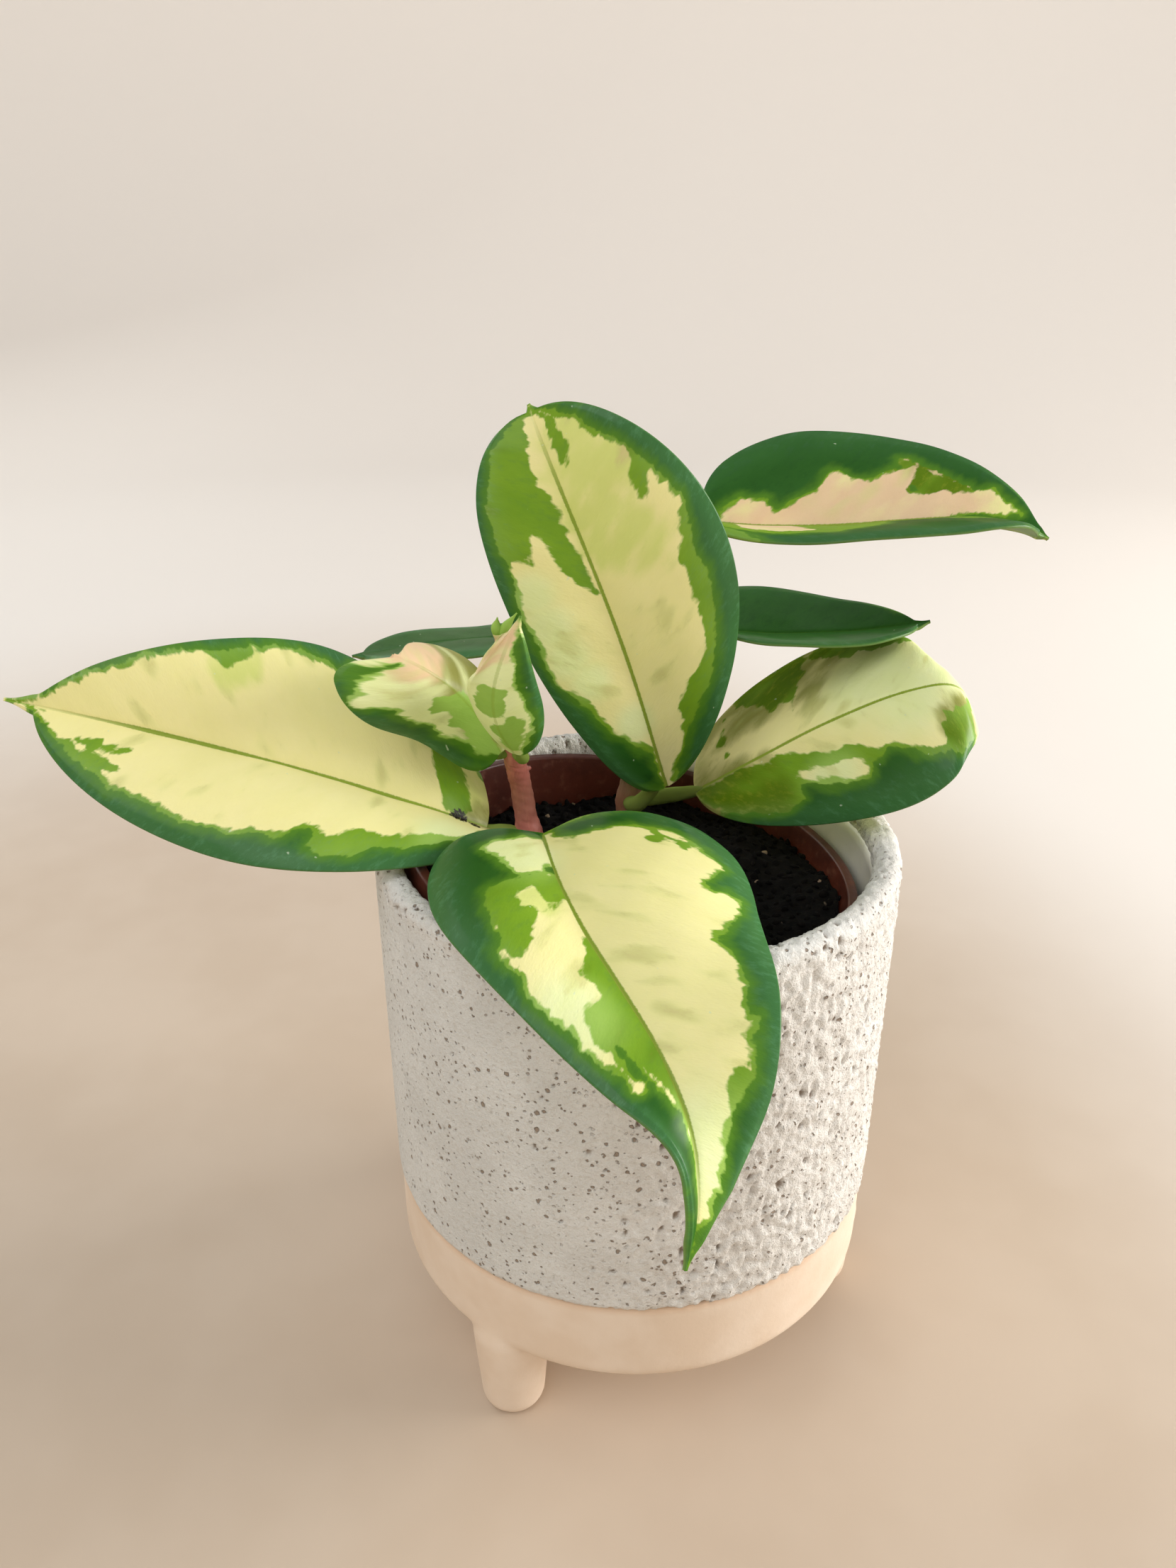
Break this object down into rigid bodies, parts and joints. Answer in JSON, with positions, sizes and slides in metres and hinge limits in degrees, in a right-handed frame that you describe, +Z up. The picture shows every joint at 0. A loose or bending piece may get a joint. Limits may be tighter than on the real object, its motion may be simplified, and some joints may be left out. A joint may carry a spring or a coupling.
{
  "type": "potted tricolor wax plant",
  "caption": "Potted wax plant with thick, cream, mid green and dark green leaves on short vines, in a footed cover pot with a pitted stone glaze.",
  "frame": {"origin": "under the middle of the whole part's box, on the plane that the cover pot's three feet stand on; the cover pot's axis is 17.0 mm to the right of it and 18.0 mm behind it", "axes": "+Z up along the cover pot's axis; the plant's front, with the leaf that hangs over the rim, looks along -Y; +X is to the right as seen from the front"},
  "size_m": [0.1832, 0.134, 0.1865],
  "materials": {
    "stone_glaze": "rough off-white volcanic glaze with open pits",
    "bare_clay": "smooth matt unglazed cream clay",
    "inner_glaze": "smooth satin white glaze",
    "brown_plastic": "satin terracotta brown moulded plastic",
    "potting_soil": "loose dark crumbs with a few pale grains",
    "stem_bark": "smooth reddish to green brown stem",
    "leaf_tricolor": "waxy satin leaf in cream, mid green and dark green"
  },
  "bodies": {
    "root": {"cover_pot": "stone_glaze", "nursery_pot": "brown_plastic", "soil": "potting_soil", "stem_front": "stem_bark", "stem_back": "stem_bark", "leaf_left": "leaf_tricolor", "leaf_front": "leaf_tricolor", "leaf_upright": "leaf_tricolor", "leaf_lower_right": "leaf_tricolor", "leaf_mid_right": "leaf_tricolor", "leaf_mid_left": "leaf_tricolor", "leaf_upper_right": "leaf_tricolor", "leaf_young_left": "leaf_tricolor", "leaf_young_right": "leaf_tricolor"}
  },
  "joints": []
}
